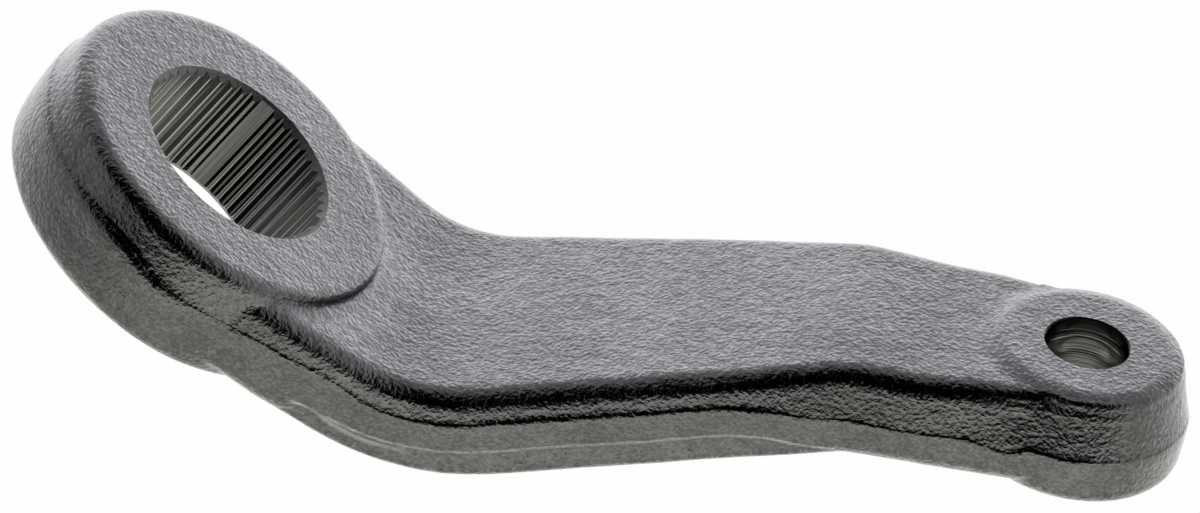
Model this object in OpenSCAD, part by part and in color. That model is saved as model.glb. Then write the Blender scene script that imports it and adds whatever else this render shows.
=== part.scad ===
// Dropped pitman arm: one steel forging with a serrated bore for the steering gear's shaft
// at one end and a tapered ball-stud bore at the other. Millimetres and degrees.
// Z is the shaft's axis, pointing out of the nut face. Z = 0 is halfway through the shaft boss,
// and +X is the way the arm leaves the shaft.

/* [Serrated bore] */
// Diameter at the bottoms of the grooves
groove_d = 38.8; // [38.2:0.1:39.6]
// Diameter at the crests of the teeth
crest_d = 37.2; // [36.6:0.1:37.8]
// Serration positions round the bore
positions = 48; // [40:4:56]
// Positions left without a tooth, spread evenly
blanks = 4; // [2:2:4]
// Turn of the blanks from the arm's own axis
blank_turn = -7.5; // [-45:0.25:45]
// Flat at the bottom of a groove, as a share of the pitch
groove_flat = 0.17; // [0.1:0.01:0.25]
// Flat on a tooth's crest, as a share of the pitch
crest_flat = 0.24; // [0.15:0.01:0.3]
// Diameter of the chamfered mouth at the nut face
mouth_d = 40; // [39.8:0.1:42]
// Diameter of the chamfered mouth at the gear face
gear_mouth_d = 41; // [39.8:0.1:42]

/* [Shaft boss] */
// Height along the shaft
boss_h = 24.5; // [24:0.5:30]
// Diameter at the parting line
boss_d = 71; // [68:0.5:78]
// Parting line's depth below the nut face
boss_part = 9; // [8:0.5:12]
// Rounding of the edge round the nut face
boss_round = 3.25; // [1.5:0.25:3.5]
// Rounding of the edge round the gear face
boss_round_low = 3.5; // [1.5:0.25:4]
// Step from the nut face down to the arm
boss_step = 2.7; // [1.5:0.1:4]
// Radius of the fillet at the foot of the step
step_fillet = 2; // [1.5:0.25:3]

/* [Arm] */
// Shaft axis to stud axis along X, at the arm's upper face
reach = 140; // [134:0.5:150]
// Height of the upper face at the stud above the upper face at the shaft boss
drop = 76; // [70:0.5:84]
// Shaft axis to the corner of the first bend
root_len = 48.4; // [43:0.1:52]
// Corner of the second bend to the stud's axis
tip_len = 42.6; // [38:0.1:50]
// Slope of the tip and lean of the stud's axis
tip_angle = 29.2; // [22:0.1:34]
// Upper face's radius in the first bend
bend1_r = 26; // [20:1:30]
// Upper face's radius in the second bend
bend2_r = 27; // [26:1:36]
// Width over the parting lines where the arm leaves the shaft boss
root_w = 66.4; // [62:0.2:67]
// Width over the parting lines at the first bend
bend1_w = 58; // [54:0.2:62]
// Width over the parting lines at the second bend
bend2_w = 46; // [40:0.2:48]
// Width over the parting lines at the stud's axis
tip_w = 39; // [34:0.2:39.4]
// Narrowing of each side either way from the widest place at the root
root_waist = 0.95; // [0:0.05:1.5]
// Thickness at the first bend
root_t = 19.6; // [18:0.2:21]
// Thickness halfway along
mid_t = 19.4; // [18:0.2:21]
// Thinning from the first bend to the shaft boss
root_thin = 0.3; // [0:0.1:2]
// Rounding of the upper edges
edge_round = 4; // [2:0.25:5]
// Rounding of the lower edges
edge_round_low = 5; // [2:0.25:6]
// Draft of the flanks above the parting line
draft_up = 8; // [3:0.5:9]
// Draft of the flanks below the parting line
draft_low = 4.5; // [3:0.5:9]
// Parting line's depth below the upper face up to the middle of the arm
part_mid = 5.8; // [5.2:0.2:8]
// Parting line's depth below the upper face past the second bend
part_tip = 10.2; // [9:0.2:12]
// Rise of the parting line from the second bend to the stud boss
part_rise = 0.4; // [0:0.1:1]

/* [Stud boss] */
// Height along the stud
stud_h = 22.8; // [22.5:0.1:26]
// Diameter at the parting line
stud_boss_d = 40.8; // [40:0.2:46]
// Height of the nut face above the arm
stud_step = 1.8; // [1.2:0.1:2.4]
// Height of the arm's underside above the boss's lower face
low_step = 1.5; // [0.4:0.1:2]
// Parting line's depth below the nut face
stud_part = 12; // [9:0.2:13]
// Rounding of the edge round the nut face
stud_round = 4.5; // [2:0.25:5]
// Rounding of the lower edge
stud_round_low = 4; // [2:0.25:5]
// Lean of the flanks under the nut face
stud_lean = 2.5; // [0:0.5:6]
// Diameter of the plain land under the nut face
land_d = 15.4; // [14:0.1:18]
// Length of the plain land
land_len = 4.2; // [3:0.1:8]
// Taper of the stud's seat, as change of diameter over length
seat_taper = 0.125; // [0.1:0.005:0.17]
// Chamfer at the land's mouth
land_chamfer = 0.2; // [0.1:0.05:0.6]
// Chamfer at the seat's wide end
seat_chamfer = 0.8; // [0.4:0.1:1.5]

/* [Hidden] */
$fn = 96;
over = 1;
nut_z = boss_h / 2;
arm_z = nut_z - boss_step;
mid_x = reach - root_len - tip_len * cos(tip_angle);
mid_z = drop - tip_len * sin(tip_angle);
mid_len = norm([mid_x, mid_z]);
rise_angle = atan2(mid_z, mid_x);
turn_back = rise_angle - tip_angle;
tangent1 = bend1_r * tan(rise_angle / 2);
tangent2 = bend2_r * tan(turn_back / 2);
s1 = root_len - tangent1;
s2 = s1 + bend1_r * rise_angle * PI / 180;
s3 = s2 + mid_len - tangent1 - tangent2;
s4 = s3 + bend2_r * turn_back * PI / 180;
s5 = s4 + tip_len - tangent2;
bend1_s = (s1 + s2) / 2;
bend2_s = (s3 + s4) / 2;
tip_t = stud_h - stud_step - low_step;
corner_steps = 5;
stud_sides = 72;

// Upper face's path: [x, z, slope] at the distance s from the shaft's axis
function straight(from, len) =
    [from[0] + len * cos(from[2]), from[1] + len * sin(from[2]), from[2]];
function bent(from, r, angle) = let(side = angle > 0 ? 1 : -1)
    [from[0] + side * r * (sin(from[2] + angle) - sin(from[2])),
     from[1] - side * r * (cos(from[2] + angle) - cos(from[2])),
     from[2] + angle];
bend1_in = straight([0, arm_z, 0], s1);
bend1_out = bent(bend1_in, bend1_r, rise_angle);
bend2_in = straight(bend1_out, s3 - s2);
bend2_out = bent(bend2_in, bend2_r, -turn_back);
stud_at = straight(bend2_out, s5 - s4);
function path(s) =
    s <= s1 ? straight([0, arm_z, 0], s) :
    s <= s2 ? bent(bend1_in, bend1_r, (s - s1) / bend1_r * 180 / PI) :
    s <= s3 ? straight(bend1_out, s - s2) :
    s <= s4 ? bent(bend2_in, bend2_r, -(s - s3) / bend2_r * 180 / PI) :
    straight(bend2_out, s - s4);

// Half width over the parting lines, thickness and parting depth along that path
function half_w(s) = lookup(s, [[0, root_w / 2 - root_waist], [14, root_w / 2], [26, root_w / 2 - root_waist],
    [bend1_s, bend1_w / 2], [bend2_s, bend2_w / 2], [s5, tip_w / 2]]);
function thick(s) = lookup(s, [[20, root_t - root_thin], [bend1_s, root_t], [(s2 + s3) / 2, mid_t],
    [s5 - 18, tip_t]]);
function part_h(s) = lookup(s, [[14, boss_part - boss_step], [bend1_s, part_mid],
    [s3 - 18, part_mid], [s3 - 4, part_mid + 0.7 * (part_tip - part_mid)],
    [s4, part_tip], [s5 - 20, part_tip - part_rise], [s5 - 8, stud_part - stud_step]]);

// Rounded corner between a flat face and a drafted flank, seen as [half width, height]:
// the corner itself at [w, h], up = 1 for an upper edge and -1 for a lower one
function corner(w, h, r, up) = let(
        draft = up > 0 ? draft_up : draft_low,
        back = r * tan(45 - draft / 2),
        c = [w - back, h - up * r],
        turn = 90 - draft)
    [for (k = [0 : corner_steps]) let(a = draft + turn * (up > 0 ? 1 - k / corner_steps : k / corner_steps))
        [c[0] + r * cos(a), c[1] + up * r * sin(a)]];

// One side of the arm's section, from the upper face down to the lower face
function side(s) = let(w = half_w(s), p = part_h(s), t = thick(s)) concat(
    corner(w - p * tan(draft_up), 0, edge_round, 1),
    [[w, -p]],
    corner(w - (t - p) * tan(draft_low), -t, edge_round_low, -1));

stations = concat(
    [0, 7, 14, 20, 26],
    [for (k = [0 : 7]) s1 + (s2 - s1) * k / 7],
    [for (k = [1 : 4]) s2 + (s3 - 18 - s2) * k / 4],
    [s3 - 11, s3 - 4],
    [for (k = [0 : 5]) s3 + (s4 - s3) * k / 5],
    [for (k = [1 : 5]) s4 + (s5 - s4) * k / 5]);

// Skin over a row of closed rings that have the same number of points
module loft(rings) {
    n = len(rings[0]);
    last = (len(rings) - 1) * n;
    skin = [for (j = [0 : len(rings) - 2], k = [0 : n - 1]) let(
            a = j * n + k,
            b = j * n + (k + 1) % n)
        for (f = [[a, b, b + n], [a, b + n, a + n]]) f];
    polyhedron(
        points = [for (one = rings) for (q = one) q],
        faces = concat([[for (k = [0 : n - 1]) n - 1 - k]], skin, [[for (k = [0 : n - 1]) last + k]]),
        convexity = 6);
}

module arm() {
    loft([for (s = stations) let(
            at = path(s),
            one = side(s),
            n = len(one),
            other = [for (k = [0 : n - 1]) [-one[n - 1 - k][0], one[n - 1 - k][1]]])
        [for (q = concat(one, other)) [at[0] - q[1] * sin(at[2]), q[0], at[1] + q[1] * cos(at[2])]]]);
}

// One side of a boss that stands on Z = 0, from its upper face down: two drafted flanks
// that meet at the parting line
function boss_side(h, d, part, round_up, round_low) = concat(
    corner(d / 2 - part * tan(draft_up), h, round_up, 1),
    [[d / 2, h - part]],
    corner(d / 2 - (h - part) * tan(draft_low), 0, round_low, -1));

module shaft_boss() {
    translate([0, 0, -nut_z])
        rotate_extrude()
            polygon(concat([[0, 0], [0, boss_h]],
                boss_side(boss_h, boss_d, boss_part, boss_round, boss_round_low)));
}

// The stud boss's flanks lean outwards under its nut face, so its rings shift as they go down
module stud_boss() {
    one = boss_side(stud_h, stud_boss_d, stud_part, stud_round, stud_round_low);
    n = len(one);
    loft([for (k = [0 : n - 1]) let(q = one[n - 1 - k], shift = (stud_h - q[1]) * tan(stud_lean))
        [for (i = [0 : stud_sides - 1]) let(a = -360 * i / stud_sides)
            [shift + q[0] * cos(a), q[0] * sin(a), q[1]]]]);
}

// Half width of the flat between the arm's upper edge roundings
function flat_w(s) = half_w(s) - part_h(s) * tan(draft_up) - edge_round * tan(45 - draft_up / 2);

// Fillet at the foot of the shaft boss's step, on the arm's upper face only: an arc that
// touches the rounding of the nut face's edge and ends a little below the arm's face
module step_foot() {
    f = step_fillet;
    sunk = 0.1;
    centre_r = boss_d / 2 - boss_part * tan(draft_up) - boss_round * tan(45 - draft_up / 2);
    centre_z = boss_step - boss_round;
    rise = f - sunk - centre_z;
    away = sqrt(pow(boss_round + f, 2) - pow(rise, 2));
    meet = atan2(rise, away);
    arc = [for (k = [0 : corner_steps]) let(a = 180 + meet + (90 - meet) * k / corner_steps)
        [centre_r + away + f * cos(a), f - sunk + f * sin(a)]];
    near = root_len / 4;
    intersection() {
        translate([0, 0, arm_z])
            rotate_extrude()
                polygon(concat([[centre_r, -over], [centre_r, centre_z]], arc, [[centre_r + away, -over]]));
        translate([0, 0, arm_z - 2 * over])
            linear_extrude(height = f + 2 * over)
                polygon([[near, -flat_w(near)], [near, flat_w(near)],
                    [root_len, flat_w(root_len)], [root_len, -flat_w(root_len)]]);
    }
}

module serrations() {
    pitch = 360 / positions;
    slope = ((1 - groove_flat) * PI * groove_d - crest_flat * PI * crest_d) / positions
        / (groove_d - crest_d);
    reach = 0.25;
    foot = (1 - groove_flat) * PI * groove_d / positions / 2 + reach * slope;
    tip = max(0.02, crest_flat * PI * crest_d / positions / 2 - reach * slope);
    union() {
        circle(d = crest_d);
        difference() {
            circle(d = groove_d);
            for (k = [0 : positions - 1])
                if (k % (positions / blanks) != 0)
                    rotate(blank_turn + k * pitch)
                        polygon([[crest_d / 2 - reach, -tip], [groove_d / 2 + reach, -foot],
                            [groove_d / 2 + reach, foot], [crest_d / 2 - reach, tip]]);
        }
    }
}

// Mouth cone: the wide end at Z = 0, narrowing upwards at 45 degrees
module mouth(d) {
    deep = (d - crest_d) / 2 + 0.4;
    translate([0, 0, -over])
        cylinder(d1 = d + 2 * over, d2 = d - 2 * deep, h = deep + over);
}

module shaft_bore() {
    translate([0, 0, -nut_z - over])
        linear_extrude(height = boss_h + 2 * over)
            serrations();
    translate([0, 0, -nut_z])
        mouth(gear_mouth_d);
    translate([0, 0, nut_z])
        mirror([0, 0, 1])
            mouth(mouth_d);
}

// Stud's seat, with Z = 0 at the nut face: plain land, then a cone that widens downwards
module stud_bore() {
    r = land_d / 2;
    wide = r + (stud_h - land_len) * seat_taper / 2;
    rotate_extrude()
        polygon([[0, over], [r + land_chamfer + over, over], [r, -land_chamfer], [r, -land_len],
            [wide - seat_chamfer * seat_taper / 2, seat_chamfer - stud_h],
            [wide + seat_chamfer + over, -stud_h - over], [0, -stud_h - over]]);
}

module at_stud() {
    translate([stud_at[0], 0, stud_at[1]])
        rotate([0, -tip_angle, 0])
            translate([0, 0, stud_step])
                children();
}

module pitman_arm() {
    color([0.16, 0.16, 0.17])
        difference() {
            union() {
                shaft_boss();
                arm();
                step_foot();
                at_stud()
                    translate([0, 0, -stud_h])
                        stud_boss();
            }
            shaft_bore();
            at_stud()
                stud_bore();
        }
}

pitman_arm();
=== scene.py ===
import math
import bpy
import numpy as np
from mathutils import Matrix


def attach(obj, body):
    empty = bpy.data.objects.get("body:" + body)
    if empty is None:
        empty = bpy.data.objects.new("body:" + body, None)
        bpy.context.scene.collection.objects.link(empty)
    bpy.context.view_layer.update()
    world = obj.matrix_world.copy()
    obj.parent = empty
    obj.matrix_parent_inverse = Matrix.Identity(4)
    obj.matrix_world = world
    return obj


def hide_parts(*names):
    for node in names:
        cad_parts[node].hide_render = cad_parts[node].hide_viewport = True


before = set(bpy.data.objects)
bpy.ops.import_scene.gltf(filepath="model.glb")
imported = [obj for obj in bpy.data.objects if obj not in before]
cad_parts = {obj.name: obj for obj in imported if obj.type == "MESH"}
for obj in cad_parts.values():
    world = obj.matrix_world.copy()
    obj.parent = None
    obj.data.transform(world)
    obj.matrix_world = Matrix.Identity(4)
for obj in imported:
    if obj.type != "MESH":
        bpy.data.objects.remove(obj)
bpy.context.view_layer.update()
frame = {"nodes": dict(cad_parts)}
print("frame loaded:", ", ".join(frame["nodes"]))

mm = 0.001

forging = {                       # degrees of draft above and below the parting line
    "draftUp": 8.0, "draftLow": 4.5,
    "roundRoom": 0.9,             # share of a lower flank that its rounding may take
    "arcSteps": 12,
}
shaftBoss = {                     # mm, z = 0 halfway up the boss
    "height": 24.5, "across": 71.0, "partDown": 9.0, "roundUp": 3.25, "roundLow": 3.5, "sides": 256,
    "step": 2.7, "stepFillet": 2.0,
    "stepSwing": 0.98, "stepBite": (1, 3), "stepRings": 90, "stepArc": 8,   # radians; bite into boss and arm
}
studBoss = {                      # mm and degrees, z = 0 on the nut face
    "height": 22.8, "across": 40.8, "partDown": 12.0, "roundUp": 4.5, "roundLow": 4.0, "sides": 192,
    "step": 1.8, "lowStep": 1.5, "lean": 2.5,
}
arm = {                           # mm and degrees, along the upper face
    "reach": 140.0, "drop": 76.0, "rootLen": 48.4, "tipLen": 42.6, "tipAngle": 29.2,
    "bend1R": 26.0, "bend2R": 27.0, "bendReach": 20,
    "rootW": 66.4, "bend1W": 58.0, "bend2W": 46.0, "tipW": 39.0,
    "widestAt": 14, "waistAt": 26, "rootWaist": 0.95,     # narrower by this before and after its widest place
    "rootT": 19.6, "midT": 19.4, "thinAt": 20, "rootThin": 0.3, "tipTLen": 18,
    "roundUp": 4.0, "roundLow": 5.0,
    "partMid": 5.8, "partTip": 10.2,
    "partFall": (18, 4, 0.7),     # starts and is mostly done this far before the second bend, and how much is done
    "partJoin": (20, 8, 0.4),     # the same before the stud's axis, and the rise up to there
    "rings": (20, 24, 40, 14, 30),
}

# Path of the upper face: straight, arc up, straight, arc back, straight
tipA = math.radians(arm["tipAngle"])
midX = arm["reach"] - arm["rootLen"] - arm["tipLen"] * math.cos(tipA)
midZ = arm["drop"] - arm["tipLen"] * math.sin(tipA)
riseA = math.atan2(midZ, midX)
backA = riseA - tipA
tan1 = arm["bend1R"] * math.tan(riseA / 2)
tan2 = arm["bend2R"] * math.tan(backA / 2)
s1 = arm["rootLen"] - tan1
s2 = s1 + arm["bend1R"] * riseA
s3 = s2 + math.hypot(midX, midZ) - tan1 - tan2
s4 = s3 + arm["bend2R"] * backA
s5 = s4 + arm["tipLen"] - tan2
bend1S, bend2S = (s1 + s2) / 2, (s3 + s4) / 2
nutZ = shaftBoss["height"] / 2
armZ = nutZ - shaftBoss["step"]
tipT = studBoss["height"] - studBoss["step"] - studBoss["lowStep"]


def lookUp(s, pairs):
    # straight lines between listed points
    return np.interp(s, [a for a, _ in pairs], [b for _, b in pairs])


def smoothStep(x, low, high):
    # 0 up to low, 1 from high, and 3 t squared less 2 t cubed between them
    t = np.clip((x - low) / (high - low), 0, 1)
    return t * t * (3 - 2 * t)


def armPath(s):
    # sums the five stretches, each taken only as far as s reaches: x, z and slope of the upper face
    a1 = np.clip((s - s1) / arm["bend1R"], 0, riseA)
    a2 = np.clip((s - s3) / arm["bend2R"], 0, backA)
    mid = np.clip(s, s2, s3) - s2
    tip = np.maximum(s - s4, 0)
    x = (np.minimum(s, s1) + arm["bend1R"] * np.sin(a1) + mid * math.cos(riseA)
         + arm["bend2R"] * (math.sin(riseA) - np.sin(riseA - a2)) + tip * math.cos(tipA))
    z = (armZ + arm["bend1R"] * (1 - np.cos(a1)) + mid * math.sin(riseA)
         + arm["bend2R"] * (np.cos(riseA - a2) - math.cos(riseA)) + tip * math.sin(tipA))
    return x, z, a1 - a2


def turned(x, z, angle):
    # a step in x and z, taken along and across a line that rises at the angle
    return x * math.cos(angle) + z * math.sin(angle), z * math.cos(angle) - x * math.sin(angle)


def armPlace(p):
    # the path the other way round: distance s along the upper face and height h above it, for points p
    x, z = p[:, 0], p[:, 2]
    r1, r2 = arm["bend1R"], arm["bend2R"]
    (x2, x3, x4), (z2, z3, z4), _ = armPath(np.array([s2, s3, s4]))
    c1x, c1z = s1, armZ + r1                                               # first bend's centre, above the face
    c2x, c2z = x3 + r2 * math.sin(riseA), z3 - r2 * math.cos(riseA)        # second bend's, below it
    turn1 = np.arctan2(x - c1x, c1z - z)
    turn2 = riseA - np.arctan2(c2x - x, z - c2z)
    along, lift = turned(x - x2, z - z2, riseA)
    tipAlong, tipLift = turned(x - x4, z - z4, tipA)
    inBend1 = (turn1 < riseA) & (x < x2 + arm["bendReach"]) & (along < 0)
    regions = [x < s1, inBend1, along < s3 - s2, turn2 < backA]
    s = np.select(regions, [x, s1 + r1 * turn1, s2 + along, s3 + r2 * turn2], s4 + tipAlong)
    h = np.select(regions, [z - armZ, r1 - np.hypot(x - c1x, z - c1z), lift,
                            np.hypot(x - c2x, z - c2z) - r2], tipLift)
    return s, h


def halfWidth(s):
    # half the width at the parting line: straight lines from the root's widest place over the bends to the tip
    half, waist = arm["rootW"] / 2, arm["rootWaist"]
    return lookUp(s, [(0, half - waist), (arm["widestAt"], half), (arm["waistAt"], half - waist),
                      (bend1S, arm["bend1W"] / 2), (bend2S, arm["bend2W"] / 2), (s5, arm["tipW"] / 2)])


def thickness(s):
    # straight lines from the thinned root over the first bend and the middle to the stud boss
    return lookUp(s, [(arm["thinAt"], arm["rootT"] - arm["rootThin"]), (bend1S, arm["rootT"]),
                      ((s2 + s3) / 2, arm["midT"]), (s5 - arm["tipTLen"], tipT)])


def partDown(s):
    # depth of the parting line under the upper face: straight lines between the bosses' depths and the arm's two
    mid, tip = arm["partMid"], arm["partTip"]
    fallFrom, fallTo, done = arm["partFall"]
    joinFrom, joinTo, rise = arm["partJoin"]
    return lookUp(s, [(arm["widestAt"], shaftBoss["partDown"] - shaftBoss["step"]), (bend1S, mid),
                      (s3 - fallFrom, mid), (s3 - fallTo, mid + done * (tip - mid)), (s4, tip),
                      (s5 - joinFrom, tip - rise), (s5 - joinTo, studBoss["partDown"] - studBoss["step"])])


def cornerArc(w, h, r, up):
    # arc of radius r that touches a drafted flank and a flat face: its centre lies r inside both
    draft = math.radians(forging["draftUp"] if up > 0 else forging["draftLow"])
    turn = np.linspace(math.pi / 2, draft, forging["arcSteps"])[::up]
    r = np.broadcast_to(r, w.shape)[:, None]
    side = w[:, None] - r * math.tan(math.pi / 4 - draft / 2) + r * np.cos(turn)
    return np.stack([side, h[:, None] - up * r + up * r * np.sin(turn)], -1)


def sideProfile(top, w, part, low, roundUp, roundLow):
    # one side of a forged section: upper rounding, parting point, lower rounding, each flank drafted inwards
    upW = w - (top - part) * math.tan(math.radians(forging["draftUp"]))
    lowW = w - (part - low) * math.tan(math.radians(forging["draftLow"]))
    roundLow = np.minimum(roundLow, forging["roundRoom"] * (part - low))
    return np.concatenate([cornerArc(upW, top, roundUp, 1), np.stack([w, part], -1)[:, None],
                           cornerArc(lowW, low, roundLow, -1)], 1)


def tubeMesh(name, *tubes):
    # rows of closed rings become quads between neighbours, with a flat cap on each end; all tubes in one mesh
    faces, start = [], 0
    for rings in tubes:
        rows, n = rings.shape[:2]
        i = start + np.arange(rows * n).reshape(rows, n)
        a, d = i[:-1], i[1:]
        quads = np.stack([a, np.roll(a, -1, 1), np.roll(d, -1, 1), d], -1).reshape(-1, 4)
        faces += quads.tolist() + [i[0, ::-1].tolist(), i[-1].tolist()]
        start += i.size
    mesh = bpy.data.meshes.new(name)
    mesh.from_pydata(np.concatenate([rings.reshape(-1, 3) for rings in tubes]).tolist(), [], faces)
    return mesh


def revolve(profile, sides, lean=0.0):
    # each [radius, z] of the profile becomes a ring round Z; lean shifts rings along X as they go down
    turn = np.linspace(0, 2 * math.pi, sides, endpoint=False)
    r, z = profile[:, :1], profile[:, 1:]
    x = r * np.cos(turn) - z * math.tan(math.radians(lean))
    return np.stack([x, r * np.sin(turn), np.broadcast_to(z, x.shape)], -1)


def atStud(p):
    # tips the stud's own frame to the arm's end and lifts it onto the nut face
    (x0,), (z0,), _ = armPath(np.array([s5]))
    z = p[..., 2] + studBoss["step"]
    return np.stack([x0 + p[..., 0] * math.cos(tipA) - z * math.sin(tipA), p[..., 1],
                     z0 + p[..., 0] * math.sin(tipA) + z * math.cos(tipA)], -1)


studAt = atStud(np.zeros((1, 3)))[0]
studAxis = np.array([-math.sin(tipA), 0, math.cos(tipA)])


def fromStudAxis(p):
    # distance from the stud's axis: what is left of the way to a point after its share along the axis
    off = p - studAt
    return np.linalg.norm(off - (off @ studAxis)[:, None] * studAxis, axis=1)


def flatRadius(boss):
    # where a nut face ends and its edge rounding starts: the drafted radius up there less the rounding's reach
    draft = math.radians(forging["draftUp"])
    upperR = boss["across"] / 2 - boss["partDown"] * math.tan(draft)
    return upperR - boss["roundUp"] * math.tan(math.pi / 4 - draft / 2)


def armRings():
    # the section at each station, set square to the path; its face rises smoothly towards the stud pad
    ends = (0, s1, s2, s3, s4, s5)
    s = np.unique(np.concatenate([np.linspace(a, b, n) for a, b, n in zip(ends, ends[1:], arm["rings"])]))
    x, z, slope = armPath(s)
    first, last, rise = skin["padRise"]
    top = rise * smoothStep(s, first, last)
    one = sideProfile(top, halfWidth(s), -partDown(s), -thickness(s), arm["roundUp"], arm["roundLow"])
    ring = np.concatenate([one, one[:, ::-1] * [-1, 1]], 1)
    y, h = ring[..., 0], ring[..., 1]
    return np.stack([x[:, None] - h * np.sin(slope)[:, None], y, z[:, None] + h * np.cos(slope)[:, None]], -1)


def bossProfile(boss, top):
    # the drafted side of a round boss whose nut face is at height top
    heights = (np.array([h]) for h in (top, boss["across"] / 2, top - boss["partDown"], top - boss["height"]))
    return sideProfile(*heights, boss["roundUp"], boss["roundLow"])[0]


def bossRings():
    # the shaft boss's side turned round Z
    return revolve(bossProfile(shaftBoss, nutZ), shaftBoss["sides"])


def studRings():
    # the stud boss's side turned round its own axis, leaning a little, and tipped to the arm's end
    return atStud(revolve(bossProfile(studBoss, 0.0), studBoss["sides"], studBoss["lean"]))


def stepRings():
    # fillet at the step's foot: an arc touching the boss's edge rounding and the arm's face, swept part of a turn
    b, f = shaftBoss, shaftBoss["stepFillet"]
    inward, down = b["stepBite"]
    centreR, centreZ = flatRadius(b), b["step"] - b["roundUp"]
    away = math.sqrt((b["roundUp"] + f) ** 2 - (f - centreZ) ** 2)
    meet = math.atan2(f - centreZ, away)
    turn = np.linspace(math.pi + meet, 1.5 * math.pi, b["stepArc"])
    arc = np.stack([centreR + away + f * np.cos(turn), f + f * np.sin(turn)], -1)
    inner = centreR - inward
    section = np.concatenate([[[inner, -down], [inner, centreZ]], arc, [[centreR + away, -down]]])
    swing = np.linspace(-b["stepSwing"], b["stepSwing"], b["stepRings"])[:, None]
    x = section[:, 0] * np.cos(swing)
    return np.stack([x, section[:, 0] * np.sin(swing), np.broadcast_to(armZ + section[:, 1], x.shape)], -1)


skin = {                          # how the forging's skin is made, mm
    "voxel": 0.66, "quickVoxel": 1.3, "smoothing": 6, "evenOut": 0.5, "evenBack": -0.52,
    "waves": ((16.0, 0.13), (6.0, 0.055), (2.4, 0.022)),      # size and height
    # the arm's face rises to the stud pad over this stretch by this much, then meets it in a fillet of this radius
    "padRise": (138, 151, 0.75), "padFoot": 8.0, "padLift": 0.4,
    # the boss's step stands upright: pull, its end in radians, and its heights and radii
    "stepPull": 0.9, "stepTurn": (0.95, 1.15), "stepFoot": (0, 0.35), "stepTop": (0.8, 2.4),
    "stepInner": 31, "stepRim": (35.6, 36.4),
    # the trimmed line on the near side, along the arm: height off the parting plane, ledge, half width
    "trimRise": ((-36, 0), (-30, -0.2), (-22, 0.8), (-17, 1.4), (-10, 1.3), (-4, -0.4), (15, -0.3), (26, 0.6),
                 (32, 1.2), (36, 1.0), (40, 0.4), (44, 0), (58, 0), (66, 0.2), (103, 0.2), (110, 0.6), (117, 0.1),
                 (121, -0.3), (129, 0.35), (139, -0.3), (150, 0.1), (157, -1.4), (160.5, 0.2), (168, 0.2),
                 (176, 0.5)),
    "trimLedge": ((-36, 0.3), (-24, 0.35), (-18, 0.8), (-2, 0.8), (5, 0.35), (12, 0.3), (20, 0.18), (38, 0.18),
                  (42, 0.38), (108, 0.38), (115, 0.14), (125, 0.14), (132, 0.24), (148, 0.26), (155, 0.36),
                  (166, 0.34), (174, 0.1)),
    "trimWidth": ((-24, 0.6), (-18, 0.95), (-2, 0.95), (5, 0.6), (12, 0.6), (20, 0.4), (110, 0.42), (118, 0.8),
                  (126, 0.7), (134, 0.45), (148, 0.45), (155, 0.6)),
    "trimFade": (1, 7), "nearSide": (-2, 2),
    "farWander": (30, 0.8, 8), "trimWobble": (4, 0.15, 9), "lineWobble": (3.0, 0.2, 21),    # size, height, seed
    # a second fine step under the parting line, with a lap beside it near the root
    "lowLine": ((30, -9.5), (34.7, -8.8), (37.4, -8.5), (39.4, -7.8), (44, -7.2), (47, -6.95), (50, -6.8),
                (110, -6.8), (125, -7.4)),
    "lowLineDeep": 0.75, "lowLineWidth": 0.36, "lowLineSpan": ((30, 34), (112, 126)), "lowLineFade": (2.5, 6),
    "lap": ((37, -8.9), (41.5, -9.0), (49.2, -8.3)), "lapSpan": ((37, 38), (45, 50)),
    # bulge of the lower flanks, which fades from the root and grows again to the stud, and lean of the upper ones
    "flankTurn": (0.45, 0.8), "crown": ((30, 0.75), (150, 0.15)),
    "crownRoot": (5, 30), "crownTip": (16, 4), "crownDeep": (15.5, 10.8),
    "lean": ((20, 0), (40, 0.05), (105, 0.05), (116, 0), (150, 0), (157, -0.08)), "leanHigh": 7,
    "sharpFrom": 38,              # degrees between faces
}
lattice = {                       # whole numbers that scatter the noise
    "scatter": (73856093, 19349663, 83492791), "stir": 1274126177, "shift": 13, "mask": 0x7fffffff,
    "seedStep": 17.31,
}


def lumps(p, size, seed):
    # smooth lattice noise from -1 to 1: a scattered value at each cube's corner, blended by a smooth step
    q = p / size + seed * lattice["seedStep"]
    cell = np.floor(q).astype(np.int64)
    f = smoothStep(q - cell, 0, 1)
    total = np.zeros(len(p))
    for corner in np.ndindex(2, 2, 2):
        k = (cell + corner) * lattice["scatter"]
        mixed = k[:, 0] ^ k[:, 1] ^ k[:, 2]
        mixed = ((mixed ^ (mixed >> lattice["shift"])) * lattice["stir"]) & lattice["mask"]
        weight = np.prod(np.where(corner, f, 1 - f), 1)
        total += weight * (mixed / (lattice["mask"] // 2) - 1)
    return total


def wobble(v, kind):
    # lumps of a listed size, height and seed
    size, high, seed = skin[kind]
    return high * lumps(v, size, seed)


def span(s, ends):
    # fades in over the first pair of distances and out over the second
    return smoothStep(s, *ends[0]) * (1 - smoothStep(s, *ends[1]))


def readRows(items, field):
    # one row of three numbers for each item of a mesh, such as the places of its points
    rows = np.empty(len(items) * 3)
    items.foreach_get(field, rows)
    return rows.reshape(-1, 3)


def evened(mesh, v):
    # each round moves a point half way to its neighbours' mean, then a little further back, so nothing shrinks
    e = np.empty(len(mesh.edges) * 2, np.int32)
    mesh.edges.foreach_get("vertices", e)
    a, b = e[::2], e[1::2]
    count = np.bincount(e, minlength=len(v))[:, None]
    for pull in (skin["evenOut"], skin["evenBack"]) * skin["smoothing"]:
        total = [np.bincount(a, v[b, c], len(v)) + np.bincount(b, v[a, c], len(v)) for c in range(3)]
        v = v + pull * (np.stack(total, -1) / count - v)
    return v


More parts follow.
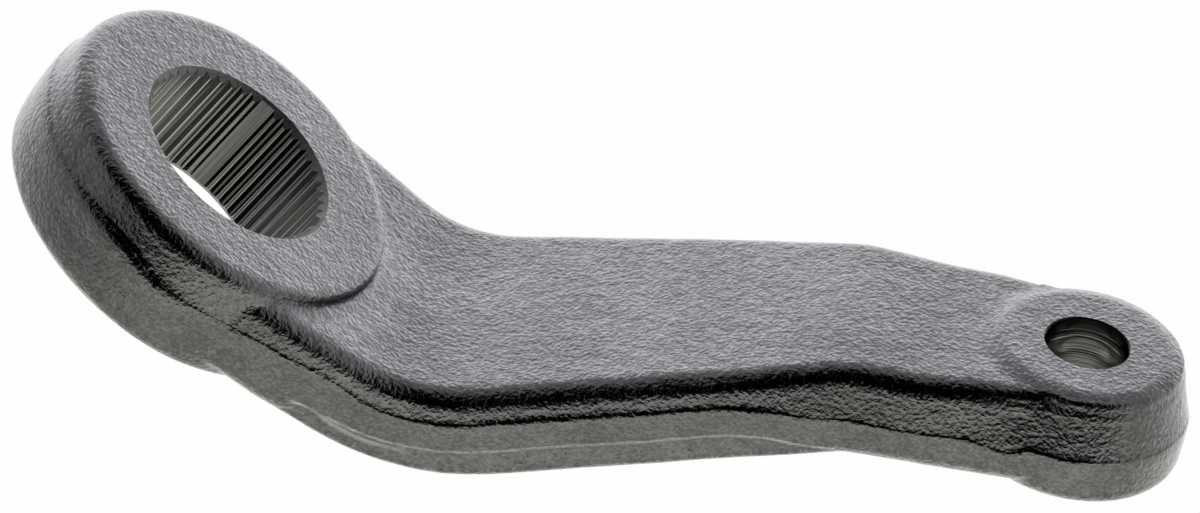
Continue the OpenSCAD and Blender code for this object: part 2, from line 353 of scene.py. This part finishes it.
def finished(obj):
    # the mesh that an object's modifiers give
    bpy.context.view_layer.update()
    return bpy.data.meshes.new_from_object(obj.evaluated_get(bpy.context.evaluated_depsgraph_get()))


def placed(name, data):
    # an object of some data, put into the scene
    obj = bpy.data.objects.new(name, data)
    bpy.context.scene.collection.objects.link(obj)
    return obj


def abovePart(v):
    # distance along the arm, and height above the trimmed line, which wanders off the parting plane
    s, h = armPlace(v)
    near = smoothStep(-v[:, 1], *skin["nearSide"])
    wander = lookUp(s, skin["trimRise"]) * near + wobble(v, "farWander") * (1 - near)
    return s, h + partDown(s) - wander + wobble(v, "trimWobble")


def padFoot(v, h):
    # lift into a fillet at the stud pad's foot: an arc that touches the pad's edge rounding and the risen arm face
    f, b, rise = skin["padFoot"], studBoss, skin["padRise"][2]
    flat, both = flatRadius(b), f + b["roundUp"]
    centre = flat + math.sqrt(both ** 2 - (both - b["step"] + rise) ** 2)
    inner = flat + (centre - flat) * b["roundUp"] / both
    away = fromStudAxis(v)
    lift = f - np.sqrt(f * f - np.clip(centre - away, 0, f) ** 2) + rise - h
    return np.clip(lift, 0, skin["padLift"]) * (away > inner) * (away < centre) * (h > 0)


def stepWall(v, h):
    # pull towards the shaft axis where the boss's step meets the arm: most near its foot, none at its top
    r = np.hypot(v[:, 0], v[:, 1])
    pull = span(h, (skin["stepFoot"], skin["stepTop"]))
    pull *= (1 - smoothStep(r, *skin["stepRim"])) * (r > skin["stepInner"])
    pull *= 1 - smoothStep(np.abs(np.arctan2(v[:, 1], v[:, 0])), *skin["stepTurn"])
    return v * [1, 1, 0] / np.maximum(r, 1)[:, None] * -(skin["stepPull"] * pull)[:, None]


def skinMove(v, n):
    # waviness along the normal, with ledge, bulge, lean and fine low step on flanks; then pad foot and step wall
    s, above = abovePart(v)
    h = armPlace(v)[1]
    slope = armPath(np.clip(s, 0, s5))[2]
    up = n[:, 2] * np.cos(slope) - n[:, 0] * np.sin(slope)
    flank = 1 - smoothStep(np.abs(up), *skin["flankTurn"])
    waves = sum(lumps(v, size, k + 1) * high for k, (size, high) in enumerate(skin["waves"]))
    ledge = 1 - smoothStep(above / lookUp(s, skin["trimWidth"]), -1, 1)
    ledge = ledge * (1 - smoothStep(-above, *skin["trimFade"]))
    low = above - lookUp(s, skin["lowLine"])
    step = 1 - smoothStep(low / skin["lowLineWidth"], -1, 1)
    step = step * span(s, skin["lowLineSpan"]) * (1 - smoothStep(-low, *skin["lowLineFade"]))
    tipFrom, tipTo = (s5 - back for back in skin["crownTip"])
    ends = 1 - smoothStep(s, *skin["crownRoot"]) + smoothStep(s, tipFrom, tipTo)
    deep = lookUp(s, tuple(zip((skin["crownRoot"][1], tipFrom), skin["crownDeep"])))
    bulge = ends * np.sin(math.pi * np.clip(-above / deep, 0, 1))
    side = (lookUp(s, skin["trimLedge"]) * ledge + lookUp(s, skin["crown"]) * bulge - skin["lowLineDeep"] * step
            + lookUp(s, skin["lean"]) * np.clip(above, 0, skin["leanHigh"]))
    return n * (waves + side * flank)[:, None] + studAxis * padFoot(v, h)[:, None] + stepWall(v, h)


def fineLines(v):
    # signed distance from the low line and from the lap beside it, and how much of each shows on the near side
    s, above = abovePart(v)
    above = above + wobble(v, "lineWobble")
    near = v[:, 1] < 0
    return np.stack([above - lookUp(s, skin["lowLine"]), span(s, skin["lowLineSpan"]) * near,
                     above - lookUp(s, skin["lap"]), span(s, skin["lapSpan"]) * near], -1)


def forgedBlank():
    # bosses, arm and fillet joined into one skin, evened out, drawn back onto their shape, then given its marks
    blank = placed("blank", tubeMesh("blank", armRings(), bossRings(), studRings(), stepRings()))
    remesh = blank.modifiers.new("oneSkin", "REMESH")
    remesh.mode = "VOXEL"
    remesh.voxel_size = skin["voxel"]
    joined = finished(blank)
    blank.modifiers.clear()
    joined.vertices.foreach_set("co", evened(joined, readRows(joined.vertices, "co")).ravel())
    wrapped = placed("wrapped", joined)
    wrap = wrapped.modifiers.new("backOnShape", "SHRINKWRAP")     # evening rounds the edges off, this undoes it
    wrap.target = blank
    joined = finished(wrapped)
    for obj in (blank, wrapped):
        bpy.data.objects.remove(obj)
    v, n = readRows(joined.vertices, "co"), readRows(joined.vertex_normals, "vector")
    joined.vertices.foreach_set("co", (v + skinMove(v, n)).ravel())
    joined.update()
    return joined


serration = {                     # mm; flats and edges as shares of one position, turn in degrees
    "grooveD": 38.8, "crestD": 37.2, "positions": 48, "blanks": 4, "turn": -7.5,
    "grooveFlat": 0.17, "crestFlat": 0.24, "crestEdge": 0.025, "past": 1.0,
    "mouthD": 40.0, "gearMouthD": 41.0, "mouthBite": 0.4, "mouthPast": 1.5, "mouthSides": 192,
}
studBore = {                      # mm, land and taper seat
    "landD": 15.4, "landLen": 4.2, "taper": 0.125, "mouthChamfer": 0.2, "seatChamfer": 0.8,
    "past": 1.0, "sides": 160,
    # turned rings: depth, then the cut before, at and after it
    "rings": ((2.65, 0, 0.1, 0.02), (4.2, 0.02, 0.12, 0), (7.25, 0, 0.12, 0), (7.8, 0, 0.12, 0)), "ringHalf": 0.15,
}


def serrationRings():
    # radius against angle over one position: groove floor, flank, crest, flank, floor; blanks stay at the floor
    g, c, count = serration["grooveD"] / 2, serration["crestD"] / 2, serration["positions"]
    foot, crest = (1 - serration["grooveFlat"]) / 2, serration["crestFlat"] / 2
    edge = serration["crestEdge"]
    chamfer = c + edge * (g - c) / (foot - crest)
    local = np.array([-0.5, -foot, -crest - edge, -crest + edge, crest - edge, crest + edge, foot])
    radius = np.array([g, g, chamfer, c, c, chamfer, g])
    k = np.arange(count)[:, None]
    angle = (math.radians(serration["turn"]) + (k + local) * 2 * math.pi / count).ravel()
    r = np.where(k % (count // serration["blanks"]) == 0, g, radius).ravel()
    z = np.array([-1, 1])[:, None] * (nutZ + serration["past"])
    return np.stack(np.broadcast_arrays(r * np.cos(angle), r * np.sin(angle), z), -1)


def mouthRings(d, side):
    # 45 degree mouth cone, its wide end out of the face
    deep, past = (d - serration["crestD"]) / 2 + serration["mouthBite"], serration["mouthPast"]
    profile = np.array([[d / 2 - deep, side * (nutZ - deep)], [d / 2 + past, side * (nutZ + past)]])
    return revolve(profile[::side], serration["mouthSides"])


def studBoreRings():
    # land, then a cone that widens downwards by half its taper; a shallow cut at each turned ring
    b, past = studBore, studBore["past"]
    rings = np.array(b["rings"])
    foot = studBoss["height"] - b["seatChamfer"]
    ringDeep = rings[:, :1] + b["ringHalf"] * np.array([-1, 0, 1])
    deep = np.concatenate([[b["mouthChamfer"]], ringDeep.ravel(), [foot]])
    cut = np.concatenate([[0], rings[:, 1:].ravel(), [0]])
    r = b["landD"] / 2 + np.maximum(deep - b["landLen"], 0) * b["taper"] / 2
    mouth = [b["landD"] / 2 + b["mouthChamfer"] + past, past]
    wide = [r[-1] + b["seatChamfer"] + past, -studBoss["height"] - past]
    profile = np.concatenate([[mouth], np.stack([r + cut, -deep], -1), [wide]])
    return atStud(revolve(profile[::-1], b["sides"]))


def cutBores(blank):
    # the four cutters taken out of the forging one after another
    body = placed("body", blank)
    shapes = {"teeth": serrationRings(), "nutMouth": mouthRings(serration["mouthD"], 1),
              "gearMouth": mouthRings(serration["gearMouthD"], -1), "studSeat": studBoreRings()}
    cutters = [placed(name, tubeMesh(name, rings)) for name, rings in shapes.items()]
    for cutter in cutters:
        cut = body.modifiers.new(cutter.name, "BOOLEAN")
        cut.operation, cut.solver, cut.object = "DIFFERENCE", "MANIFOLD", cutter
    mesh = finished(body)
    for obj in cutters + [body]:
        bpy.data.objects.remove(obj)
    return mesh


blank = forgedBlank()
print("forged blank:", len(blank.vertices), "points")
mesh = cutBores(blank)
mesh.name = "forgedArm"
mesh.calc_loop_triangles()
print("bores cut:", len(mesh.loop_triangles), "triangles")


class Wire:
    # a socket that can stand in sums: every operator adds one Math node behind it
    def __init__(self, socket):
        self.socket = socket
        self.tree = socket.id_data

    def calc(self, operation, *values):
        # one Math node on the given values
        return node(self.tree, "ShaderNodeMath", {"operation": operation}, dict(enumerate(values)))

    def also(self, name):
        # another output of the same node
        return Wire(self.socket.node.outputs[name])

    def smooth(self, low, high):
        # 0 up to low, 1 from high, a smooth step between
        return node(self.tree, "ShaderNodeMapRange", {"interpolation_type": "SMOOTHSTEP"},
                    {"Value": self, "From Min": low, "From Max": high})

    def __add__(self, other):
        return self.calc("ADD", self, other)

    def __radd__(self, other):
        return self.calc("ADD", other, self)

    def __sub__(self, other):
        return self.calc("SUBTRACT", self, other)

    def __rsub__(self, other):
        return self.calc("SUBTRACT", other, self)

    def __mul__(self, other):
        return self.calc("MULTIPLY", self, other)

    def __rmul__(self, other):
        return self.calc("MULTIPLY", other, self)

    def __gt__(self, other):
        return self.calc("GREATER_THAN", self, other)

    def __abs__(self):
        return self.calc("ABSOLUTE", self)


def node(tree, kind, settings, links, out=0):
    # adds a node, sets its settings first, then gives each socket a value or a link, and hands back one output
    made = tree.nodes.new(kind)
    for key, value in settings.items():
        setattr(made, key, value)
    for key, value in links.items():
        if isinstance(value, Wire):
            tree.links.new(value.socket, made.inputs[key])
        else:
            made.inputs[key].default_value = value
    return Wire(made.outputs[out]) if len(made.outputs) else None


def newTree(kind, name):
    # a new material or world with an empty node tree
    block = kind.new(name)
    block.use_nodes = True
    block.node_tree.nodes.clear()
    return block, block.node_tree


def mixColour(tree, factor, a, b):
    # a where the factor is 0, b where it is 1
    return node(tree, "ShaderNodeMix", {"data_type": "RGBA"}, {0: factor, 6: a, 7: b}, 2)


def attribute(tree, name, out):
    # an attribute that the mesh carries
    return node(tree, "ShaderNodeAttribute", {"attribute_name": name}, {}, out)


coat = {                          # satin black coat over forged grain; sizes in mm
    "dark": (0.17, 0.17, 0.175, 1), "pale": (0.33, 0.33, 0.345, 1), "metal": 1.0, "rough": 0.13, "roughSwing": 0.12,
    "grainSize": 0.76, "peelSize": 2.1, "cloudSize": 22.0, "detail": 2.0,
    "grainHeight": 0.34, "heights": (0.7, 0.6, 0.25), "ledge": (-0.3, 0.25),    # shares of grain, peel and ledge
    "tones": (0.55, 0.3, 0.25), "toneSpan": (0.35, 0.8),                        # shares of grain, peel and cloud
    # painted highlight along the low line and the lap: its colour, how far it reaches, and its least share
    "lineHighlight": (0.52, 0.52, 0.5, 1), "highlightSpan": (0.05, 0.9), "highlightLeast": 0.5,
}


def coatMaterial():
    # grain and peel noise make the height and, with a slow cloud, the tone; the fine lines get a pale painted
    # highlight
    material, tree = newTree(bpy.data.materials, "forgedCoat")
    place = node(tree, "ShaderNodeTexCoord", {}, {}, "Object")
    grain, peel, cloud = (
        node(tree, "ShaderNodeTexNoise", {}, {
            "Vector": place, "Scale": 1 / (coat[size] * mm), "Detail": coat["detail"]})
        for size in ("grainSize", "peelSize", "cloudSize"))
    ledge = attribute(tree, "abovePart", "Fac").smooth(*coat["ledge"])          # finer than the mesh can hold
    g, p, e = coat["heights"]
    bump = node(tree, "ShaderNodeBump", {}, {
        "Distance": coat["grainHeight"] * mm, "Height": grain * g + peel * p - ledge * e}, "Normal")
    g, p, c = coat["tones"]
    tone = (grain * g + peel * p + cloud * c).smooth(*coat["toneSpan"])
    fine = attribute(tree, "fineLines", "Color")
    parts = node(tree, "ShaderNodeSeparateColor", {}, {"Color": fine})
    near = lambda away: 1 - abs(away).smooth(*coat["highlightSpan"])
    lines = near(parts.also("Red")) * parts.also("Green") + near(parts.also("Blue")) * fine.also("Alpha")
    # painted highlight on the low line and the lap, stronger where the peel noise is high
    lineHighlight = lines * (coat["highlightLeast"] + peel)
    colour = mixColour(tree, lineHighlight, mixColour(tree, tone, coat["dark"], coat["pale"]), coat["lineHighlight"])
    rough = coat["rough"] + (peel - 0.5) * coat["roughSwing"]
    shader = node(tree, "ShaderNodeBsdfPrincipled", {}, {
        "Base Color": colour, "Metallic": coat["metal"], "Roughness": rough, "Normal": bump})
    node(tree, "ShaderNodeOutputMaterial", {}, {"Surface": shader})
    return material


cutSteel = {                      # broached and turned faces; sizes in mm
    "dark": (0.17, 0.17, 0.17, 1), "pale": (0.34, 0.34, 0.34, 1), "broachTone": (0.2, 0.8),
    "broachScale": (2500, 2500, 40),
    "metal": 1.0, "rough": 0.16, "mouthRough": 0.5, "markHeight": 0.02, "markStrength": 0.6,
    "turnedDark": (0.05, 0.05, 0.05, 1), "turnedPale": (0.31, 0.31, 0.31, 1), "turnedTone": (0.3, 0.7),
    "turnedScale": 4.0, "turnedDetail": 3.0,
    "land": (0.03, 0.03, 0.03, 1), "landDeep": 2.6, "landEdge": 0.05,
    "ring": (0.85, 0.85, 0.83, 1), "rings": (2.65, 4.2, 7.3, 7.8), "ringWide": 0.14,
    # painted shade on the groove flanks against the turn round the bore in degrees, and how much darker the blanks
    # are; painted highlight on a crest's two edges
    "groove": (0.006, 0.006, 0.006, 1), "blankBlack": 0.22, "crestHighlight": (0.9, 0.35), "crestDeep": 0.1,
    "flankShadeByTurn": ((-180, 0.2), (16, 0.2), (36, 0.8), (50, 1), (82, 1), (96, 0.85), (115, 0.4), (130, 0.2),
                    (180, 0.2)),
    # which faces are cut: distance from a bore's axis, most share of the normal along it, and least on a mouth cone
    "shaftWithin": 20.6, "studWithin": 9.9, "alongMost": 0.85, "mouthLeast": 0.5, "studFrom": 90,
}


def cutMaterial():
    # broach lines along Z in the shaft bore, with painted shade on groove flanks and a painted highlight on crest
    # edges; in the stud bore a dark land, bright rings and turning marks by depth
    material, tree = newTree(bpy.data.materials, "cutSteel")
    place = node(tree, "ShaderNodeTexCoord", {}, {}, "Object")
    drawn = node(tree, "ShaderNodeMapping", {}, {"Vector": place, "Scale": cutSteel["broachScale"]})
    broach = node(tree, "ShaderNodeTexNoise", {}, {"Vector": drawn, "Scale": 1.0, "Detail": 2.0})
    down = node(tree, "ShaderNodeVectorMath", {"operation": "DOT_PRODUCT"},
                {0: place, 1: tuple(-studAxis)}, "Value")
    deep = down * (1 / mm) + float(studAt @ studAxis)
    marks = node(tree, "ShaderNodeTexNoise", {"noise_dimensions": "1D"}, {
        "W": deep, "Scale": cutSteel["turnedScale"], "Detail": cutSteel["turnedDetail"]})
    atStudEnd = node(tree, "ShaderNodeSeparateXYZ", {}, {"Vector": place}, "X") > cutSteel["studFrom"] * mm

    ring = sum(1 - abs(deep - depth).smooth(0, cutSteel["ringWide"]) for depth in cutSteel["rings"])
    below = deep.smooth(cutSteel["landDeep"] - cutSteel["landEdge"], cutSteel["landDeep"] + cutSteel["landEdge"])
    tone = marks.smooth(*cutSteel["turnedTone"])
    turnedSeat = mixColour(tree, tone, cutSteel["turnedDark"], cutSteel["turnedPale"])
    turnedSeat = mixColour(tree, below, cutSteel["land"], turnedSeat)
    turnedSeat = mixColour(tree, ring, turnedSeat, cutSteel["ring"])

    black = node(tree, "ShaderNodeSeparateXYZ", {}, {"Vector": attribute(tree, "boreShadeHighlightMouth", "Vector")}, "X")
    highlight, mouth = black.also("Y"), black.also("Z")
    broached = mixColour(tree, broach.smooth(*cutSteel["broachTone"]), cutSteel["dark"], cutSteel["pale"])
    # painted shade: groove flanks go near black by their turn round the bore, and the blanks a little darker
    broached = mixColour(tree, black, broached, cutSteel["groove"])
    # painted highlight on the crest edges, in the rings' pale colour
    broached = mixColour(tree, highlight, broached, cutSteel["ring"])

    lines = broach * (1 - atStudEnd) + marks * below * atStudEnd
    bump = node(tree, "ShaderNodeBump", {}, {
        "Strength": cutSteel["markStrength"], "Distance": cutSteel["markHeight"] * mm, "Height": lines}, "Normal")
    rough = mouth * (cutSteel["mouthRough"] - cutSteel["rough"]) + cutSteel["rough"]
    shader = node(tree, "ShaderNodeBsdfPrincipled", {}, {
        "Base Color": mixColour(tree, atStudEnd, broached, turnedSeat), "Metallic": cutSteel["metal"],
        "Roughness": rough, "Normal": bump})
    node(tree, "ShaderNodeOutputMaterial", {}, {"Surface": shader})
    return material


def boreShadeHighlightMouth(centre, normal, inShaft):
    # per face of the shaft bore: painted shade on groove flanks, a darker share on blanks, a painted highlight on
    # crest edges, and the mouth cones
    angle, radius = np.arctan2(centre[:, 1], centre[:, 0]), np.hypot(centre[:, 0], centre[:, 1])
    slot = (angle - math.radians(serration["turn"])) * serration["positions"] / (2 * math.pi)
    off = slot - np.round(slot)
    crest, edge, foot = serration["crestFlat"] / 2, serration["crestEdge"], (1 - serration["grooveFlat"]) / 2
    blank = np.mod(np.round(slot), serration["positions"] // serration["blanks"]) == 0
    mouth = inShaft & (np.abs(normal[:, 2]) > cutSteel["mouthLeast"])
    tooth = inShaft & ~mouth & ~blank
    flank = tooth & (np.abs(off) > crest + edge) & (np.abs(off) < foot)
    # painted shade on the flanks, by where they sit round the bore; the blanks take a set darker share
    black = flank * lookUp(np.degrees(angle), cutSteel["flankShadeByTurn"]) + cutSteel["blankBlack"] * (inShaft & blank)
    # painted highlight on a crest's two edges, one side brighter than the other
    highlitEdge = tooth & (np.abs(np.abs(off) - crest) < edge) & (radius < serration["crestD"] / 2 + cutSteel["crestDeep"])
    return np.stack([black, highlitEdge * np.where(off > 0, *cutSteel["crestHighlight"]), mouth], -1)


def store(mesh, name, kind, domain, field, values):
    # keeps an array on the mesh as a named attribute
    mesh.attributes.new(name, kind, domain).data.foreach_set(field, np.asarray(values, np.float32).ravel())


def dressArm(mesh):
    # bore faces take the cut steel: near a bore's axis and not square to it; the rest takes the coat
    v = readRows(mesh.vertices, "co")
    centre, normal = readRows(mesh.polygons, "center"), readRows(mesh.polygons, "normal")
    shaftAway, most = np.hypot(centre[:, 0], centre[:, 1]), cutSteel["alongMost"]
    inShaft = (shaftAway < cutSteel["shaftWithin"]) & (np.abs(normal[:, 2]) < most)
    inStud = (fromStudAxis(centre) < cutSteel["studWithin"]) & (np.abs(normal @ studAxis) < most)
    store(mesh, "abovePart", "FLOAT", "POINT", "value", abovePart(v)[1])
    store(mesh, "fineLines", "FLOAT_COLOR", "POINT", "color", fineLines(v))
    store(mesh, "boreShadeHighlightMouth", "FLOAT_VECTOR", "FACE", "vector", boreShadeHighlightMouth(centre, normal, inShaft))
    mesh.materials.clear()
    mesh.materials.append(coatMaterial())
    mesh.materials.append(cutMaterial())
    mesh.polygons.foreach_set("material_index", (inShaft | inStud).astype(np.int32))
    mesh.polygons.foreach_set("use_smooth", np.ones(len(centre), bool))
    mesh.set_sharp_from_angle(angle=math.radians(skin["sharpFrom"]))
    mesh.vertices.foreach_set("co", (v * mm).ravel())
    mesh.update()
    piece = placed("forgedArm", mesh)
    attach(piece, "root")
    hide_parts("pitman_arm")


dressArm(mesh)
print("forging dressed")

camera = {                        # place in metres and the three axes found from the photograph
    "at": (-0.25982, -1.10691, 0.74329), "right": (0.78256, 0.15517, 0.60293),
    "down": (0.57502, -0.55139, -0.60442), "away": (0.23866, 0.81969, -0.52072),
    "lens": 222.57, "sensor": 36.0, "clip": (0.01, 100.0),
}
studio = {                        # metres, degrees and light levels
    "white": (1, 1, 1, 1), "floorDown": 0.5, "floorHalf": 40, "floorTone": (0.9, 0.9, 0.89, 1), "floorWhite": 0.85,
    "boxSize": (0.5, 0.5), "boxAt": (0.0, 0.1, 1.1), "boxPower": 1.5,
    "tentMiddle": (0.06, 0, 0.03), "tentRadius": 3.0, "tentRings": 60, "tentSides": 240, "tentPole": 0.5,
    "skyTint": (1.0, 1.0, 1.015, 1), "groundTint": (1.0, 1.0, 0.91, 1), "groundFrom": (-0.1, 0.5),
    # level against the turn from the lens (0) over the top (90) to behind (180) and below (-90)
    "tent": ((-180, 1.2), (-160, 1.15), (-145, 1.05), (-130, 0.9), (-118, 0.68), (-108, 0.48), (-100, 0.41),
             (-92, 0.48), (-84, 0.61), (-78, 0.71), (-72, 0.79), (-66, 0.74), (-59, 0.57), (-52, 0.44),
             (-47, 0.16), (-41, 0.045), (-34, 0.006), (-25, 0.001), (32, 0.001), (40, 0.01), (46, 0.06),
             (52, 0.18), (62, 0.27), (75, 0.33), (90, 0.4), (98, 0.48), (104, 0.64),
             (110, 0.9), (116, 1.14), (122, 1.36), (130, 1.52), (145, 1.68), (162, 1.35), (180, 1.2)),
    # turn of its upper edge across the view, and the stretch that turns
    "tentShift": ((-0.14, 0), (0.16, -5.5), (0.63, 10.5)), "shiftSpan": ((90, 105), (140, 165)),
    # where its sides take over, and their levels on the lens's side and behind
    "tentSide": (0.45, 0.95), "tentBehind": (-0.1, 0.4), "tentLeft": (0.3, 0.56), "tentRight": (0.42, 0.8),
}


def viewAxes():
    # the camera's three directions as arrays
    return (np.array(camera[k]) for k in ("right", "down", "away"))


def tentLevel(way):
    # looks the level up by the turn about the camera's sideways axis, then blends it into the side's level
    right, down, away = viewAxes()
    turn = np.degrees(np.arctan2(-(way @ down), -(way @ away)))
    turn = turn - lookUp(way @ right, studio["tentShift"]) * span(turn, studio["shiftSpan"])
    level = lookUp(turn, studio["tent"])
    side = smoothStep(np.abs(way @ right), *studio["tentSide"])
    behind = smoothStep(way @ away, *studio["tentBehind"])
    left, other = (near + (far - near) * behind for near, far in (studio["tentLeft"], studio["tentRight"]))
    return level + (np.where(way @ right < 0, left, other) - level) * side


def lightTent():
    # a ball round the part: rings about the camera's sideways axis; each point glows by its level times its tint
    right, down, away = viewAxes()
    pole = studio["tentPole"]
    polar = np.radians(np.linspace(pole, 180 - pole, studio["tentRings"]))[:, None, None]
    turn = np.linspace(0, 2 * math.pi, studio["tentSides"], endpoint=False)[None, :, None]
    way = np.cos(polar) * right - np.sin(polar) * (np.cos(turn) * away + np.sin(turn) * down)
    mesh = tubeMesh("lightTent", np.array(studio["tentMiddle"]) + studio["tentRadius"] * way)
    way = way.reshape(-1, 3)
    sky, ground = np.array(studio["skyTint"]), np.array(studio["groundTint"])
    tint = sky + (ground - sky) * smoothStep(way @ down, *studio["groundFrom"])[:, None]
    store(mesh, "glow", "FLOAT_COLOR", "POINT", "color", tentLevel(way)[:, None] * tint)
    material, tree = newTree(bpy.data.materials, "tentCloth")
    glow = node(tree, "ShaderNodeEmission", {}, {"Color": attribute(tree, "glow", "Color"), "Strength": 1.0})
    node(tree, "ShaderNodeOutputMaterial", {}, {"Surface": glow})
    mesh.materials.append(material)
    mesh.polygons.foreach_set("use_smooth", np.ones(len(mesh.polygons), bool))
    return mesh


def paleFloor():
    # a flat square that is nearly white to the eye and keeps the part's shadow
    half, z = studio["floorHalf"], -nutZ * mm - studio["floorDown"]
    mesh = bpy.data.meshes.new("floor")
    mesh.from_pydata([(-half, -half, z), (half, -half, z), (half, half, z), (-half, half, z)], [], [(0, 1, 2, 3)])
    material, tree = newTree(bpy.data.materials, "paleFloor")
    plain = node(tree, "ShaderNodeBsdfDiffuse", {}, {"Color": studio["floorTone"]})
    white = node(tree, "ShaderNodeEmission", {}, {"Color": studio["white"], "Strength": 1.0})
    rays = node(tree, "ShaderNodeLightPath", {}, {}, "Is Camera Ray")
    seen = rays + rays.also("Is Glossy Ray") + rays.also("Is Transmission Ray")
    both = node(tree, "ShaderNodeMixShader", {}, {0: seen * studio["floorWhite"], 1: plain, 2: white})
    node(tree, "ShaderNodeOutputMaterial", {}, {"Surface": both})
    mesh.materials.append(material)
    return mesh


def setAxes(obj, at, x, y, z):
    # a place and three directions, made unit length, become the object's matrix
    rows = np.eye(4)
    rows[:3, :3] = np.stack([np.asarray(a, float) / np.linalg.norm(a) for a in (x, y, z)], 1)
    rows[:3, 3] = at
    obj.matrix_world = rows.T.tolist()


def buildStudio():
    # white world and pale floor for the eye, the tent for gloss alone, and a soft box above for the shadow
    world, tree = newTree(bpy.data.worlds, "studioWhite")
    sky = node(tree, "ShaderNodeBackground", {}, {"Color": studio["white"], "Strength": 1.0})
    node(tree, "ShaderNodeOutputWorld", {}, {"Surface": sky})
    bpy.context.scene.world = world
    floor, tent = placed("floor", paleFloor()), placed("lightTent", lightTent())
    tent.visible_camera = tent.visible_diffuse = tent.visible_shadow = False
    floor.visible_glossy = False
    lamp = bpy.data.lights.new("softBox", "AREA")
    lamp.shape, lamp.energy = "RECTANGLE", studio["boxPower"]
    lamp.size, lamp.size_y = studio["boxSize"]
    box = placed("softBox", lamp)
    box.visible_glossy = False
    aim = np.array(studio["tentMiddle"]) - np.array(studio["boxAt"])
    side = np.cross(aim, (0, 0, 1))
    setAxes(box, studio["boxAt"], side, np.cross(side, aim), -aim)


def buildCamera():
    # the lens at its place, its own axes being right, up and towards the viewer
    lens = bpy.data.cameras.new("camera")
    lens.sensor_width, lens.lens = camera["sensor"], camera["lens"]
    lens.clip_start, lens.clip_end = camera["clip"]
    right, down, away = viewAxes()
    obj = placed("camera", lens)
    setAxes(obj, camera["at"], right, -down, -away)
    bpy.context.scene.camera = obj


buildStudio()
buildCamera()
bpy.context.scene.view_settings.view_transform = "Standard"
print("studio and camera set")
